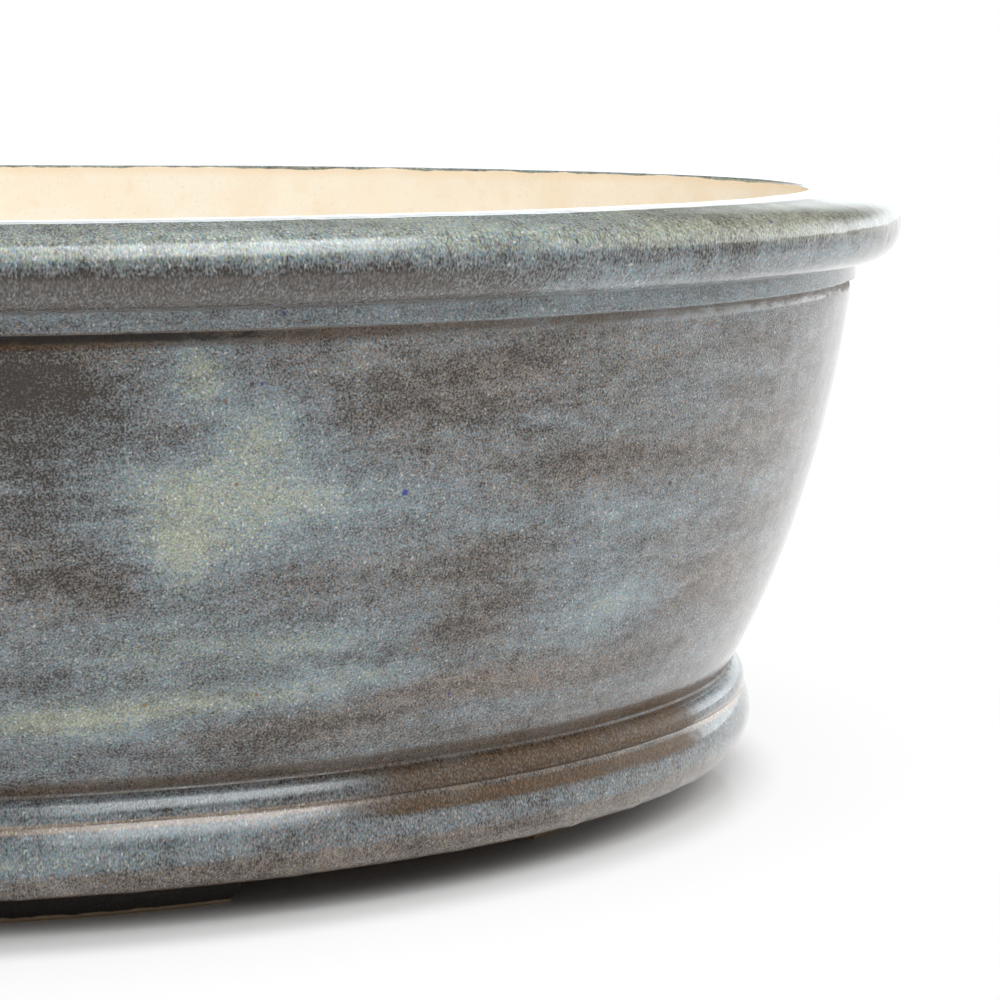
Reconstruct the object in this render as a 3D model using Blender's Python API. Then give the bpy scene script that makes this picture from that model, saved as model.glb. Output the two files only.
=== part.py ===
"""A shallow oval bonsai pot in glazed stoneware, as the clay parts that it is put together from.

Metres, +Z up, +X along the pot, with the origin on the ground under the middle of the pot.
The plan of every ring follows the oval of the rim. A point on a ring is given by its setback, which is
how far it lies inside the rim's outermost line, and by its height above the ground.
"""

import math

import bmesh
import bpy
from mathutils import Vector

# The whole pot, measured over the lip
RIM_LENGTH = 0.296
RIM_WIDTH = 0.236
POT_HEIGHT = 0.090

# The slip joint left between two clay parts
JOINT = 0.0003

# The floor and its holes
BASE_THICKNESS = 0.0081
DRAIN_DIAMETER = 0.020
DRAIN_SPACING = 0.062
WIRE_HOLE_DIAMETER = 0.005
WIRE_HOLE_X = 0.040
WIRE_HOLE_Y = 0.042

# The wall, which leans in towards its foot and bulges a little
WALL_THICKNESS = 0.0070
WALL_LEAN = 0.0178
WALL_BULGE_IN = 0.0042
WALL_BULGE_DOWN = 0.0340
WALL_FOOT_TAPER = 0.0018
FLOOR_FILLET = 0.0060

# The rolled lip
LIP_HEIGHT = 0.0107
LIP_WIDTH = 0.0140
LIP_FLAT = 0.0034
LIP_WIDEST_BELOW_TOP = 0.0048
LIP_OVERHANG = 0.0066
LIP_INNER_EASE = 0.0006
LIP_FULLNESS = 2.6

# The fillet strip under the lip
BAND_HEIGHT = 0.0023
BAND_STEP = 0.0005
BAND_EASE = 0.0005

# The belt moulding round the foot of the wall: a round bead above a fat roll
BEAD_HEIGHT = 0.0034
BEAD_STANDOUT = 0.0023
BEAD_CREASE = 0.0006
BEAD_WIDEST_SHARE = 0.2
BEAD_FULLNESS = 2.0
ROLL_STANDOUT = 0.0033
ROLL_DEPTH = 0.0068
ROLL_DROP = 0.0015
ROLL_UNDERCUT = 0.0040
ROLL_WIDEST_SHARE = 0.42
ROLL_FULLNESS = 2.2
ROLL_LOWER_FULLNESS = 1.75

# The four feet, cut from one oval foot ring
FOOT_HEIGHT = 0.0055
FOOT_WIDTH = 0.0140
FOOT_INSET_SIDES = 0.0047
FOOT_INSET_ENDS = 0.0132
FOOT_HALF_SPREAD = math.radians(30)
FOOT_END_RUN = 0.0055
FOOT_EASE = 0.0006

# How finely the round shapes are divided
RING_STEPS = 80
CURVE_STEPS = 5
WALL_STEPS = 8
FOOT_STEPS = 14
DRAIN_STEPS = 24
WIRE_HOLE_STEPS = 12
SHARP_ANGLE = math.radians(40)
CUTTER_OVERSHOOT = 0.002

# Heights, stacked from the ground up and from the lip's top down
base_bottom = FOOT_HEIGHT + JOINT
base_top = base_bottom + BASE_THICKNESS
roll_bottom = base_bottom - ROLL_DROP
roll_widest = roll_bottom + (base_top - roll_bottom) * (1 - ROLL_WIDEST_SHARE)
bead_bottom = base_top + JOINT
bead_top = bead_bottom + BEAD_HEIGHT
bead_widest = bead_bottom + BEAD_HEIGHT * BEAD_WIDEST_SHARE
lip_bottom = POT_HEIGHT - LIP_HEIGHT
band_top = lip_bottom - JOINT
band_bottom = band_top - BAND_HEIGHT
wall_top = band_bottom - JOINT

# Setbacks from the rim's outermost line
band_face = LIP_OVERHANG
wall_face_top = band_face + BAND_STEP
wall_inside_top = wall_face_top + WALL_THICKNESS
band_inside = (LIP_WIDTH + wall_inside_top) / 2
wall_face_foot = wall_face_top + WALL_LEAN
bead_face = wall_face_foot - BEAD_STANDOUT
crease = bead_face + BEAD_CREASE
roll_face = wall_face_foot - ROLL_STANDOUT
roll_edge = roll_face + ROLL_UNDERCUT
roll_inside = roll_face + ROLL_DEPTH
base_edge = roll_inside + JOINT


def clay(name, colour, roughness):
    """A plain shader for one clay part."""
    material = bpy.data.materials.new(name)
    material.use_nodes = True
    shader = material.node_tree.nodes["Principled BSDF"]
    shader.inputs["Base Color"].default_value = (*colour, 1)
    shader.inputs["Metallic"].default_value = 0
    shader.inputs["Roughness"].default_value = roughness
    material.diffuse_color = (*colour, 1)
    return material


def place(name, bm, material):
    """Turns finished mesh work into a named object, with its round faces shaded smooth."""
    bmesh.ops.recalc_face_normals(bm, faces=bm.faces)
    mesh = bpy.data.meshes.new(name)
    bm.to_mesh(mesh)
    bm.free()
    mesh.shade_smooth()
    mesh.set_sharp_from_angle(angle=SHARP_ANGLE)
    mesh.materials.append(material)
    thing = bpy.data.objects.new(name, mesh)
    bpy.context.scene.collection.objects.link(thing)
    return thing


def plan_point(angle, setback):
    """A point of the plan: on the rim's oval, then moved inward, square to the oval."""
    half_length = RIM_LENGTH / 2
    half_width = RIM_WIDTH / 2
    outward = Vector((math.cos(angle) / half_length, math.sin(angle) / half_width)).normalized()
    on_rim = Vector((half_length * math.cos(angle), half_width * math.sin(angle)))
    return on_rim - outward * setback


def quarter(level_end, upright_end, fullness):
    """A rounded corner, from the end where it runs level to the end where it runs upright."""
    points = []
    for step in range(CURVE_STEPS + 1):
        turn = math.pi / 2 * step / CURVE_STEPS
        across = math.sin(turn) ** (2 / fullness)
        rise = math.cos(turn) ** (2 / fullness)
        setback = level_end[0] + (upright_end[0] - level_end[0]) * across
        height = upright_end[1] + (level_end[1] - upright_end[1]) * rise
        points.append((setback, height))
    return points


def bow(start, control, end, steps):
    """A smooth bowed line between two points, drawn towards a control point."""
    points = []
    for step in range(steps + 1):
        t = step / steps
        setback = (1 - t) ** 2 * start[0] + 2 * t * (1 - t) * control[0] + t * t * end[0]
        height = (1 - t) ** 2 * start[1] + 2 * t * (1 - t) * control[1] + t * t * end[1]
        points.append((setback, height))
    return points


def oval_ring(name, outline, material):
    """Sweeps a closed outline of (setback, height) points round the oval."""
    bm = bmesh.new()
    rows = []
    for step in range(RING_STEPS):
        angle = 2 * math.pi * step / RING_STEPS
        row = []
        for setback, height in outline:
            x, y = plan_point(angle, setback)
            row.append(bm.verts.new((x, y, height)))
        rows.append(row)
    count = len(outline)
    for step in range(RING_STEPS):
        here = rows[step]
        there = rows[(step + 1) % RING_STEPS]
        for i in range(count):
            k = (i + 1) % count
            bm.faces.new((here[i], there[i], there[k], here[k]))
    return place(name, bm, material)


def lip_outline():
    """The lip: an upright inside, a narrow flat top, and a full roll back in to the band."""
    widest = POT_HEIGHT - LIP_WIDEST_BELOW_TOP
    inside = [
        (LIP_WIDTH, lip_bottom),
        (LIP_WIDTH, POT_HEIGHT - LIP_INNER_EASE),
        (LIP_WIDTH - LIP_INNER_EASE, POT_HEIGHT),
    ]
    shoulder = quarter((LIP_WIDTH - LIP_FLAT, POT_HEIGHT), (0, widest), LIP_FULLNESS)
    underside = quarter((band_face, lip_bottom), (0, widest), LIP_FULLNESS)
    return inside + shoulder + underside[-2::-1]


def band_outline():
    """The fillet strip: a narrow upright ribbon with its lower edge eased."""
    return [
        (band_inside, band_bottom),
        (band_inside, band_top),
        (band_face, band_top),
        (band_face, band_bottom + BAND_EASE),
        (band_face + BAND_EASE, band_bottom),
    ]


def wall_outline():
    """The wall: the bowed face, the part behind the bead, then the inside with its fillet at the floor."""
    control = (wall_face_top + WALL_BULGE_IN, wall_top - WALL_BULGE_DOWN)
    face = bow((wall_face_top, wall_top), control, (wall_face_foot, bead_top), WALL_STEPS)
    fillet_top = bead_bottom + FLOOR_FILLET
    inside_control = (control[0] + WALL_THICKNESS, control[1])
    inside_foot = wall_face_foot + WALL_THICKNESS
    inside = bow((wall_inside_top, wall_top), inside_control, (inside_foot, fillet_top), WALL_STEPS)
    fillet = quarter((inside_foot + FLOOR_FILLET, bead_bottom), (inside_foot, fillet_top), 2)
    behind_bead = [(wall_face_foot + WALL_FOOT_TAPER, bead_bottom)]
    return face + behind_bead + fillet + inside[-2::-1]


def bead_outline():
    """The bead: laid against the wall, it rounds out and down to a nose just above the crease."""
    back_top = wall_face_foot - JOINT
    back_bottom = back_top + WALL_FOOT_TAPER
    upper = quarter((back_top, bead_top), (bead_face, bead_widest), BEAD_FULLNESS)
    lower = quarter((crease, bead_bottom), (bead_face, bead_widest), BEAD_FULLNESS)
    return upper + lower[-2::-1] + [(back_bottom, bead_bottom)]


def roll_outline():
    """The roll: wrapped round the edge of the floor, and hanging a little below it."""
    upper = quarter((crease, base_top), (roll_face, roll_widest), ROLL_FULLNESS)
    lower = quarter((roll_edge, roll_bottom), (roll_face, roll_widest), ROLL_LOWER_FULLNESS)
    return upper + lower[-2::-1] + [(roll_inside, roll_bottom), (roll_inside, base_top)]


def hole_cutter(name, x, y, diameter, steps):
    """An upright cylinder that goes right through the floor."""
    bm = bmesh.new()
    bmesh.ops.create_cone(
        bm,
        cap_ends=True,
        segments=steps,
        radius1=diameter / 2,
        radius2=diameter / 2,
        depth=BASE_THICKNESS + 2 * CUTTER_OVERSHOOT,
    )
    cutter = place(name, bm, clay(name, (0.5, 0.5, 0.5), 0.5))
    cutter.location = (x, y, (base_bottom + base_top) / 2)
    cutter.hide_render = True
    cutter.display_type = "WIRE"
    return cutter


def base_slab(material):
    """The floor: an oval slab with a row of drainage holes and four holes for tie wire."""
    outline = [
        (base_edge, base_bottom),
        (base_edge, base_top),
    ]
    bm = bmesh.new()
    rings = []
    for setback, height in outline:
        ring = []
        for step in range(RING_STEPS):
            x, y = plan_point(2 * math.pi * step / RING_STEPS, setback)
            ring.append(bm.verts.new((x, y, height)))
        bm.faces.new(ring)
        rings.append(ring)
    for step in range(RING_STEPS):
        k = (step + 1) % RING_STEPS
        bm.faces.new((rings[0][step], rings[0][k], rings[1][k], rings[1][step]))
    slab = place("base_slab", bm, material)
    drains = [(-DRAIN_SPACING, 0), (0, 0), (DRAIN_SPACING, 0)]
    wires = [(sx * WIRE_HOLE_X, sy * WIRE_HOLE_Y) for sx in (-1, 1) for sy in (-1, 1)]
    cuts = [("drain_cutter", spot, DRAIN_DIAMETER, DRAIN_STEPS) for spot in drains]
    cuts += [("wire_cutter", spot, WIRE_HOLE_DIAMETER, WIRE_HOLE_STEPS) for spot in wires]
    for number, (kind, spot, diameter, steps) in enumerate(cuts):
        cutter = hole_cutter(f"{kind}_{number}", spot[0], spot[1], diameter, steps)
        cut = slab.modifiers.new(cutter.name, "BOOLEAN")
        cut.operation = "DIFFERENCE"
        cut.solver = "EXACT"
        cut.object = cutter
    return slab


def foot(name, middle_angle, material):
    """One foot: a stretch of the foot ring, with both ends cut on a slope, longer at the top."""
    half_length = RIM_LENGTH / 2 - roll_edge - FOOT_INSET_ENDS
    half_width = RIM_WIDTH / 2 - roll_edge - FOOT_INSET_SIDES
    section = [
        (0, FOOT_HEIGHT),
        (0, FOOT_EASE),
        (FOOT_EASE, 0),
        (FOOT_WIDTH - FOOT_EASE, 0),
        (FOOT_WIDTH, FOOT_EASE),
        (FOOT_WIDTH, FOOT_HEIGHT),
    ]
    bm = bmesh.new()
    rows = []
    for step in range(FOOT_STEPS + 1):
        row = []
        for inset, height in section:
            extra = FOOT_END_RUN * height / FOOT_HEIGHT / half_width
            spread = FOOT_HALF_SPREAD + extra
            angle = middle_angle + spread * (2 * step / FOOT_STEPS - 1)
            a = half_length - inset
            b = half_width - inset
            reach = a * b / math.hypot(b * math.cos(angle), a * math.sin(angle))
            row.append(bm.verts.new((reach * math.cos(angle), reach * math.sin(angle), height)))
        rows.append(row)
    count = len(section)
    for here, there in zip(rows, rows[1:]):
        for i in range(count):
            k = (i + 1) % count
            bm.faces.new((here[i], there[i], there[k], here[k]))
    bm.faces.new(rows[0])
    bm.faces.new(rows[-1])
    return place(name, bm, material)


for old in list(bpy.data.objects):
    bpy.data.objects.remove(old)

GLAZE_COLOUR = (0.10, 0.11, 0.11)
CLAY_COLOUR = (0.80, 0.62, 0.42)

oval_ring("lip_roll", lip_outline(), clay("lip_glaze", GLAZE_COLOUR, 0.2))
oval_ring("rim_band", band_outline(), clay("band_glaze", GLAZE_COLOUR, 0.2))
oval_ring("wall", wall_outline(), clay("wall_glaze", GLAZE_COLOUR, 0.2))
oval_ring("belt_bead", bead_outline(), clay("bead_glaze", GLAZE_COLOUR, 0.2))
oval_ring("belt_roll", roll_outline(), clay("roll_glaze", GLAZE_COLOUR, 0.2))
base_slab(clay("bare_clay", CLAY_COLOUR, 0.9))
for side, turn in (("right", 0), ("back", 1), ("left", 2), ("front", 3)):
    foot(f"foot_{side}", turn * math.pi / 2, clay(f"foot_{side}_glaze", GLAZE_COLOUR, 0.25))
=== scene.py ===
import math
import random

import bmesh
import bpy
import numpy as np
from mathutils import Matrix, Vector, noise


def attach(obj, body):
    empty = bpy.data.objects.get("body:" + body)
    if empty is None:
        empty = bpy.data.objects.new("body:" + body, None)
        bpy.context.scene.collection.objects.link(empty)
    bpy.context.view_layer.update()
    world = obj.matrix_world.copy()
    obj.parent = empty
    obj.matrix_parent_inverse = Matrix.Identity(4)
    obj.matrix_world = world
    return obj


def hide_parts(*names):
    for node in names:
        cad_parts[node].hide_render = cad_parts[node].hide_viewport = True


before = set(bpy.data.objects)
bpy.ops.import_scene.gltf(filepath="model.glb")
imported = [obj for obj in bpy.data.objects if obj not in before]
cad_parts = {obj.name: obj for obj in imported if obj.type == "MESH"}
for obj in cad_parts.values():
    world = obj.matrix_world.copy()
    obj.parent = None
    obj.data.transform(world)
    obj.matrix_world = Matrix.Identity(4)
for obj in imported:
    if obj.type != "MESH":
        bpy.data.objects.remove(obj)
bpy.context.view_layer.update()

# The floor of the pot
# A slab of cream stoneware clay with fine grog in it, rolled out and cut to an oval. The drainage
# holes and the smaller holes for the tie wires are punched while it is soft. It stays unglazed.
# Underneath it is coloured dark brown, partly the brown of its underside and partly painted shade
# that darkens the gloom under the pot.

HALF_LENGTH = 0.148
HALF_WIDTH = 0.118
SLAB_SETBACK = 0.0287
SLAB_BOTTOM = 0.0058
SLAB_TOP = 0.0139
SLAB_STEPS = 240
DRAIN_RADIUS = 0.01
DRAIN_PLACES = ((-0.062, 0), (0, 0), (0.062, 0))
WIRE_RADIUS = 0.0025
WIRE_PLACES = ((-0.04, -0.042), (0.04, -0.042), (-0.04, 0.042), (0.04, 0.042))
HOLE_ROUNDING = 0.0006
HOLE_ROUNDING_TURNS = (0, 0.3, 0.7, 1)
HOLE_STEPS = 48
SHARP_ANGLE = math.radians(50)
UNDERNEATH = -0.5

# The clay's colours, and how many of each pattern's grains go to a metre
CREAM = (0.96, 0.92, 0.83, 1)
PEACH = (0.92, 0.77, 0.58, 1)
GROG = (0.7, 0.58, 0.43, 1)
# The tan that darkens the clay low inside is painted shade
LOW_TAN_SHADE = (0.88, 0.82, 0.73, 1)
# Painted shade in part: the dark brown of the clay's underside
UNDERSIDE_BROWN_AND_SHADE = (0.148, 0.104, 0.082, 1)
MOTTLES_TO_METRE = 95
BLOTCHES_TO_METRE = 260
SAND_TO_METRE = 2300
FINGER_MARKS_TO_METRE = 60

# Where each change of the clay starts and is complete, and its strength before and after
MOTTLE_LEVELS = (0.46, 0.72)
MOTTLE_WARMTH = 0.3
BLOTCH_LEVELS = (0.62, 0.72)
BLOTCH_WARMTH = 0.22
# Painted shade: warmer towards the right end, and a deeper tan low down
RIGHT_END_WARM_SHADE = (0.03, 0.13, 0, 0.24)
LOW_SHADE_HEIGHTS = (0.048, 0.014)
GROG_LEVELS = (0.6, 0.74)
GROG_SHARE = 0.5
CLAY_ROUGHNESS = (0.3, 0.7, 0.72, 0.9)
SAND_RELIEF = 0.35
FINGER_RELIEF = 1.2
CLAY_VALUES = {"IOR": 1.45}


def plan(angle, setback):
    """Points in plan, at a distance inside the rim's oval, for arrays of angles and setbacks."""
    rim = np.stack([HALF_LENGTH * np.cos(angle), HALF_WIDTH * np.sin(angle)], -1)
    outward = np.stack([np.cos(angle) / HALF_LENGTH, np.sin(angle) / HALF_WIDTH], -1)
    outward /= np.linalg.norm(outward, axis=-1, keepdims=True)
    return rim - outward * np.asarray(setback)[..., None]


def add(tree, kind, inputs=None, **settings):
    """Adds a shader node, sets its options, and fills its inputs with values or other nodes' outputs."""
    made = tree.nodes.new("ShaderNode" + kind)
    for name, value in settings.items():
        setattr(made, name, value)
    for key, value in (inputs or {}).items():
        if isinstance(value, bpy.types.NodeSocket):
            tree.links.new(value, made.inputs[key])
        else:
            made.inputs[key].default_value = value
    return made


def feed(node, sources):
    """Links named inputs of a node to the outputs that they are given."""
    for title, source in sources.items():
        node.id_data.links.new(source, node.inputs[title])


def sums(operation, first, second=0.0, clamp=False):
    """A sum, product or the like. One value at least is a node's output, and its tree is used."""
    tree = (first if isinstance(first, bpy.types.NodeSocket) else second).id_data
    return add(tree, "Math", {0: first, 1: second}, operation=operation, use_clamp=clamp).outputs[0]


def plus(first, second, clamp=False):
    return sums("ADD", first, second, clamp)


def times(first, second):
    return sums("MULTIPLY", first, second)


def centred(value, amount):
    """A noise that swings evenly round 0, by half the amount to each side."""
    return times(sums("SUBTRACT", value, 0.5), amount)


def blended(share, first, second, way="MIX"):
    """A mix of two colours. The Mix node's colours are its inputs 6 and 7 and its output 2."""
    tree = (share if isinstance(share, bpy.types.NodeSocket) else first).id_data
    inputs = {0: share, 6: first, 7: second}
    return add(tree, "Mix", inputs, data_type="RGBA", blend_type=way).outputs[2]


def ramp(value, start, end, low=0.0, high=1.0):
    """A soft step: low before start, high past end."""
    inputs = {0: value, 1: start, 2: end, 3: low, 4: high}
    return add(value.id_data, "MapRange", inputs, interpolation_type="SMOOTHSTEP").outputs[0]


def grain(place, scale, detail=1.0, roughness=0.5, stretch=(1, 1, 1), shift=(0, 0, 0)):
    """A noise of a given number of grains to the metre, which may be stretched and shifted."""
    tree = place.id_data
    sizes = tuple(scale * share for share in stretch)
    mapped = add(tree, "Mapping", {"Vector": place, "Location": shift, "Scale": sizes})
    inputs = {"Vector": mapped.outputs[0], "Scale": 1.0, "Detail": detail, "Roughness": roughness}
    return add(tree, "TexNoise", inputs).outputs["Fac"]


def new_group(name, inputs, outputs):
    """An empty node group. Returns it with the sockets of what it is given, and its output node."""
    group = bpy.data.node_groups.new(name, "ShaderNodeTree")
    for title, kind in inputs.items():
        group.interface.new_socket(title, in_out="INPUT", socket_type="NodeSocket" + kind)
    for title, kind in outputs.items():
        group.interface.new_socket(title, in_out="OUTPUT", socket_type="NodeSocket" + kind)
    return group, group.nodes.new("NodeGroupInput").outputs, group.nodes.new("NodeGroupOutput")


clay_body, given, result = new_group(
    "Fired clay", {"Place": "Vector"}, {"Color": "Color", "Roughness": "Float", "Height": "Float"}
)
place = given["Place"]
mottles = grain(place, MOTTLES_TO_METRE, detail=2)
blotches = grain(place, BLOTCHES_TO_METRE, shift=(3, 1, 5))
sand = grain(place, SAND_TO_METRE, detail=2, roughness=0.7)
finger_marks = grain(place, FINGER_MARKS_TO_METRE, detail=2, stretch=(1, 1, 9))
along_pot = add(clay_body, "SeparateXYZ", {0: place}).outputs

# Warmer mottles and spots, a warmer tone towards the right end that is painted shade of the far
# inside, and a deeper tan low inside that is painted shade deep in the pot
warmth_and_shade = times(ramp(mottles, *MOTTLE_LEVELS), MOTTLE_WARMTH)
warmth_and_shade = plus(warmth_and_shade, ramp(along_pot["X"], *RIGHT_END_WARM_SHADE))
spots = times(ramp(blotches, *BLOTCH_LEVELS), BLOTCH_WARMTH)
tone = blended(plus(warmth_and_shade, spots, clamp=True), CREAM, PEACH)
low_shade = ramp(along_pot["Z"], *LOW_SHADE_HEIGHTS)
tone = blended(low_shade, tone, LOW_TAN_SHADE, "MULTIPLY")
specks = times(ramp(sand, *GROG_LEVELS), GROG_SHARE)
feed(result, {
    "Color": blended(specks, tone, GROG),
    "Roughness": ramp(sand, *CLAY_ROUGHNESS),
    "Height": plus(times(sand, SAND_RELIEF), times(finger_marks, FINGER_RELIEF)),
})


def new_material(name, settings):
    """A material with one Principled shader, whose even values are set on its own sockets."""
    material = bpy.data.materials.new(name)
    material.use_nodes = True
    shader = material.node_tree.nodes["Principled BSDF"]
    for title, value in settings.items():
        shader.inputs[title].default_value = value
    return material, material.node_tree, shader


def place_of(tree):
    return add(tree, "TexCoord").outputs["Object"]


def clay_in(tree):
    """The fired clay's colour, roughness and height, for one material."""
    return add(tree, "Group", {"Place": place_of(tree)}, node_tree=clay_body).outputs


def bump(shader, height, strength, distance):
    relief = {"Height": height, "Strength": strength, "Distance": distance}
    feed(shader, {"Normal": add(shader.id_data, "Bump", relief).outputs["Normal"]})


def show(name, data):
    """Puts a mesh, a lamp or a camera in the scene."""
    shown = bpy.data.objects.new(name, data)
    bpy.context.scene.collection.objects.link(shown)
    return shown


def finish_piece(name, mesh_data, node, finish, other=None, picked=None):
    """Puts a mesh in the scene as a named piece in the place of the solid that it stands for. It has
    one finish, and may have another on the faces that a test picks."""
    mesh_data.materials.append(finish)
    if other:
        mesh_data.materials.append(other)
        for face in mesh_data.polygons:
            face.material_index = int(picked(face))
    piece = show(name, mesh_data)
    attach(piece, "root")
    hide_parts(node)


def mesh_from(bm, name):
    """Turns worked faces into a mesh and lets go of them."""
    made = bpy.data.meshes.new(name)
    bm.to_mesh(made)
    bm.free()
    return made


def smooth(mesh_data):
    mesh_data.shade_smooth()
    mesh_data.set_sharp_from_angle(angle=SHARP_ANGLE)


def ring_of(bm, points, height):
    return [bm.verts.new((x, y, height)) for x, y in points]


def skin(bm, first, second):
    """Faces between two rings of the same number of points, with the first one outside or above."""
    for here in range(len(first)):
        there = (here + 1) % len(first)
        bm.faces.new((first[here], second[here], second[there], first[there]))


slab = bmesh.new()
slab_turns = np.linspace(0, 2 * math.pi, SLAB_STEPS, endpoint=False)
slab_edge = plan(slab_turns, np.full(SLAB_STEPS, SLAB_SETBACK))
upper_rings = [ring_of(slab, slab_edge, SLAB_TOP)]
lower_rings = [ring_of(slab, slab_edge, SLAB_BOTTOM)]
skin(slab, upper_rings[0], lower_rings[0])
holes = [(place, DRAIN_RADIUS) for place in DRAIN_PLACES]
holes += [(place, WIRE_RADIUS) for place in WIRE_PLACES]
hole_turns = np.linspace(0, 2 * math.pi, HOLE_STEPS, endpoint=False)
for (x, y), radius in holes:
    rows = []
    for share in HOLE_ROUNDING_TURNS:
        turn = share * math.pi / 2
        reach = radius + HOLE_ROUNDING * (1 - math.sin(turn))
        rows.append((reach, SLAB_TOP - HOLE_ROUNDING * (1 - math.cos(turn))))
    rows += [(reach, SLAB_TOP + SLAB_BOTTOM - height) for reach, height in rows[::-1]]
    rings = []
    for reach, height in rows:
        circle = [(x + reach * math.cos(turn), y + reach * math.sin(turn)) for turn in hole_turns]
        rings.append(ring_of(slab, circle, height))
    for above, below in zip(rings, rings[1:]):
        skin(slab, below, above)
    upper_rings.append(rings[0])
    lower_rings.append(rings[-1])
for rings in (upper_rings, lower_rings):
    edges = []
    for ring in rings:
        edges += [slab.edges.get(pair) for pair in zip(ring, ring[1:] + ring[:1])]
    bmesh.ops.triangle_fill(slab, use_beauty=True, edges=edges)
bmesh.ops.recalc_face_normals(slab, faces=slab.faces)
slab_mesh = mesh_from(slab, "base_slab_body")
smooth(slab_mesh)

clay_finish, clay_tree, clay_shader = new_material("Bare clay", CLAY_VALUES)
clay = clay_in(clay_tree)
feed(clay_shader, {"Base Color": clay["Color"], "Roughness": clay["Roughness"]})
bump(clay_shader, clay["Height"], strength=0.55, distance=0.0002)
# The underside's dark brown is partly painted shade under the pot
underside_shade_finish, underside_shade_tree, underside_shade_shader = new_material("Clay dark brown underneath with painted shade", CLAY_VALUES)
clay = clay_in(underside_shade_tree)
underside_brown_and_shade = blended(1.0, clay["Color"], UNDERSIDE_BROWN_AND_SHADE, "MULTIPLY")
feed(underside_shade_shader, {"Base Color": underside_brown_and_shade, "Roughness": clay["Roughness"]})


def looks_down(face):
    return face.normal.z < UNDERNEATH


finish_piece("pot_floor", slab_mesh, "base_slab", clay_finish, underside_shade_finish, looks_down)

# The roll round the edge of the floor
# A fat coil of the same clay, luted round the slab and drawn smooth with a shaped rib. It carries
# the speckled glaze: a dark brown ground full of blue, green and straw-coloured grains. In the fire
# the glaze ran down it, and hangs along its lower edge in small drops.

ROUND_STEPS = 900
SWELLS = ((0.045, 0.5), (0.014, 0.3), (0.005, 0.2))
CREASE = (0.0231, 0.0143)
ROLL_BOTTOM = 0.0043
ROLL_WIDEST = 0.00987
ROLL_FACE = 0.0216
ROLL_EDGE = 0.0256
ROLL_INSIDE = 0.0284
ROLL_BACK = 0.024
ROLL_CROWN = (0.0216, 0.0124)
ROLL_LOWER_FULLNESS = 1.75
DROPLETS_ROUND = 74
DROPLET_HEIGHTS = (0.005, 0.0062)
DROPLET_WIDTHS = (0.35, 0.8)
DROPLET_REACH = 0.0008
DROPLET_RISES = (0.0001, 0.0003)
OUT_OF_STEP = 0.4

# The glaze's colours: its ground, its grains, and its rare marks
GROUND = (0.03, 0.02, 0.013, 1)
MOTTLE = (0.085, 0.068, 0.058, 1)
CALM_BROWN = (0.108, 0.097, 0.089, 1)
# The browns of a thin coat, which also serve as painted shade in creases and under edges
BROWN_AND_SHADE = (0.07, 0.042, 0.02, 1)
DEEP_BROWN_AND_SHADE = (0.016, 0.011, 0.008, 1)
BLUE_GRAIN = (0.285, 0.425, 0.492, 1)
STRAW_GRAIN = (0.47, 0.52, 0.36, 1)
BROWN_GRAIN = (0.47, 0.385, 0.285, 1)
LILAC_GRAIN = (0.52, 0.41, 0.5, 1)
CREAM_GRAIN = (0.78, 0.8, 0.74, 1)
RUST = (0.22, 0.1, 0.035, 1)
COBALT = (0.02, 0.03, 0.25, 1)
GLAZE_VALUES = {"IOR": 1.33, "Coat Weight": 1.0, "Coat IOR": 1.35, "Coat Roughness": 0.07}
GLAZE_RELIEF = 0.00016

# How many of each pattern's grains go to a metre
FINE_TO_METRE = 3800
TINTS_TO_METRE = 3600
LILACS_TO_METRE = 3300
CREAMS_TO_METRE = 3000
GLOSSES_TO_METRE = 700
RELIEF_TO_METRE = 420
WISPS_TO_METRE = 330
DRIFTS_TO_METRE = 75
BANDS_TO_METRE = 42
DRIPS_TO_METRE = (620, 620, 130)

# How far each pattern swings the cover of grains, their hue and the ragged edge of the coat
WISP_COVER = 0.7
DRIFT_COVER = 0.52
BAND_COVER = 0.36
DRIP_COVER = 1.6
FULLEST_COVER = 0.74
GRAIN_CONTRAST = (0, 1, 1.35, 1.3)
TINT_HUE = 3.0
BAND_HUE = 0.9
WISP_EDGE = 0.9
FINE_EDGE = 0.8

# Where each change of the glaze starts and is complete, and its strength before and after
BLUE_HUES = (-0.9, 0.1)
STRAW_HUES = (0.2, 1.4)
LILACS = (0.5, 0.68, 0, 0.55)
CREAM_LEVELS = (0.68, 0.78)
GROUND_MOTTLES = (0.45, 0.7, 0, 0.55)
GROUND_SHADES = (0.3, 0.7, 0.6, 1.5)
BARE_LEVELS = (0.35, 0.85)
BARE_COVER = 0.45
BARE_ROUGHNESS = 0.35
BARE_GLOSS = 0.08
RUSTING = (0.55, 0.75, 0, 0.5)
DEEP_LEVELS = (1.0, 1.3)
DEEP_COVER = 0.1
GLOSS_ROUGHNESS = (0.3, 0.7, 0.17, 0.27)
GRAIN_RELIEF = 0.22
PIT_RELIEF = 1.5
IRON_SHARE = 0.8
PIT_SHARE = 0.85
COBALT_SHARE = 0.9

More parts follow.
